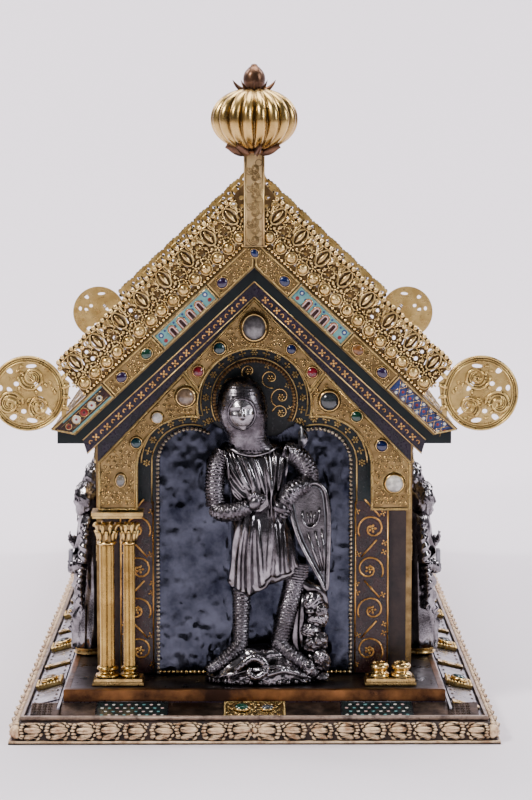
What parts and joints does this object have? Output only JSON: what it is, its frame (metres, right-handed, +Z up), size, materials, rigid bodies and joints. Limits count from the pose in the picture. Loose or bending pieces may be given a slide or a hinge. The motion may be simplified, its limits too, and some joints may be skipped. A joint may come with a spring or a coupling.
{
  "type": "reliquary casket",
  "caption": "House-shaped oak reliquary casket clad in gilt openwork, filigree, enamel and silver figures, on a carved leaf base.",
  "frame": {"origin": "middle of the underside of the base board", "axes": "+X right seen from the front gable, +Y from the front gable to the back gable, +Z up"},
  "size_m": [0.495, 1.2006, 0.6307],
  "materials": {
    "gilt_copper": "worn polished gilding",
    "tarnished_silver": "burnished, tarnished dark in the hollows",
    "dark_enamel": "glossy dark brown enamel with gold scrolls",
    "dark_oak": "dark, dry, waxed",
    "carved_gesso": "worn pale gold on a dark ground"
  },
  "bodies": {
    "root": {"arcade_left": "gilt_copper", "arcade_right": "gilt_copper", "bargeboard_back_left": "gilt_copper", "bargeboard_back_right": "gilt_copper", "bargeboard_front_left": "gilt_copper", "bargeboard_front_right": "gilt_copper", "base_board": "dark_oak", "column_bases_front_right": "gilt_copper", "column_pair_back_left": "gilt_copper", "column_pair_back_right": "gilt_copper", "column_pair_front_left": "gilt_copper", "eaves_disc_back_left": "gilt_copper", "eaves_disc_back_right": "gilt_copper", "eaves_disc_front_left": "gilt_copper", "eaves_disc_front_right": "gilt_copper", "gable_board_back": "dark_oak", "gable_board_front": "dark_oak", "gable_cladding_back": "dark_enamel", "gable_cladding_front": "dark_enamel", "knight_front": "tarnished_silver", "knob_back": "gilt_copper", "knob_front": "gilt_copper", "leaf_moulding": "carved_gesso", "niche_panel_back": "tarnished_silver", "niche_panel_front": "tarnished_silver", "plate_band": "tarnished_silver", "plinth_board": "dark_oak", "post_back": "gilt_copper", "post_front": "gilt_copper", "rake_crest_back_left": "gilt_copper", "rake_crest_back_right": "gilt_copper", "rake_crest_front_left": "gilt_copper", "rake_crest_front_right": "gilt_copper", "ridge_roll": "gilt_copper", "roof_board_left": "gilt_copper", "roof_board_right": "gilt_copper", "roof_end_board_back": "dark_oak", "roof_end_board_front": "dark_oak", "saint_back": "tarnished_silver", "saint_left_1": "tarnished_silver", "saint_left_2": "tarnished_silver", "saint_left_3": "tarnished_silver", "saint_left_4": "tarnished_silver", "saint_left_5": "tarnished_silver", "saint_left_6": "tarnished_silver", "saint_right_1": "tarnished_silver", "saint_right_2": "tarnished_silver", "saint_right_3": "tarnished_silver", "saint_right_4": "tarnished_silver", "saint_right_5": "tarnished_silver", "saint_right_6": "tarnished_silver", "side_board_left": "dark_oak", "side_board_right": "dark_oak", "trefoil_apex_back": "gilt_copper", "trefoil_apex_front": "gilt_copper", "trefoil_back_left": "gilt_copper", "trefoil_back_right": "gilt_copper", "trefoil_front_left": "gilt_copper", "trefoil_front_right": "gilt_copper"}
  },
  "joints": []
}
